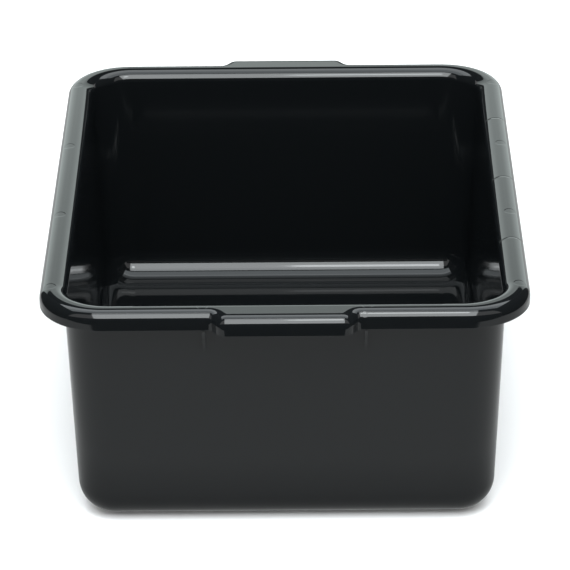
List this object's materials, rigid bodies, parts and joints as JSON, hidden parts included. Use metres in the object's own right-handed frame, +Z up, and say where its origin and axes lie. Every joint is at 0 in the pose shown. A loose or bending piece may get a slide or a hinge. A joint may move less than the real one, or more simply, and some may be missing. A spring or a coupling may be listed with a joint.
{
  "type": "bus tub",
  "caption": "Open rectangular bus tub, moulded in one piece, with drafted walls, a rolled rim and an outward-stepped handle grip on each short end.",
  "frame": {"origin": "middle of the underside, on the surface that the tub stands on", "axes": "+Z up out of the open top, +Y along the tub towards one handle, +X across it"},
  "size_m": [0.384, 0.532, 0.199],
  "materials": {
    "black_plastic": "black moulded plastic, glossy, with faint moulding texture"
  },
  "bodies": {
    "root": {"tub": "black_plastic"}
  },
  "joints": []
}
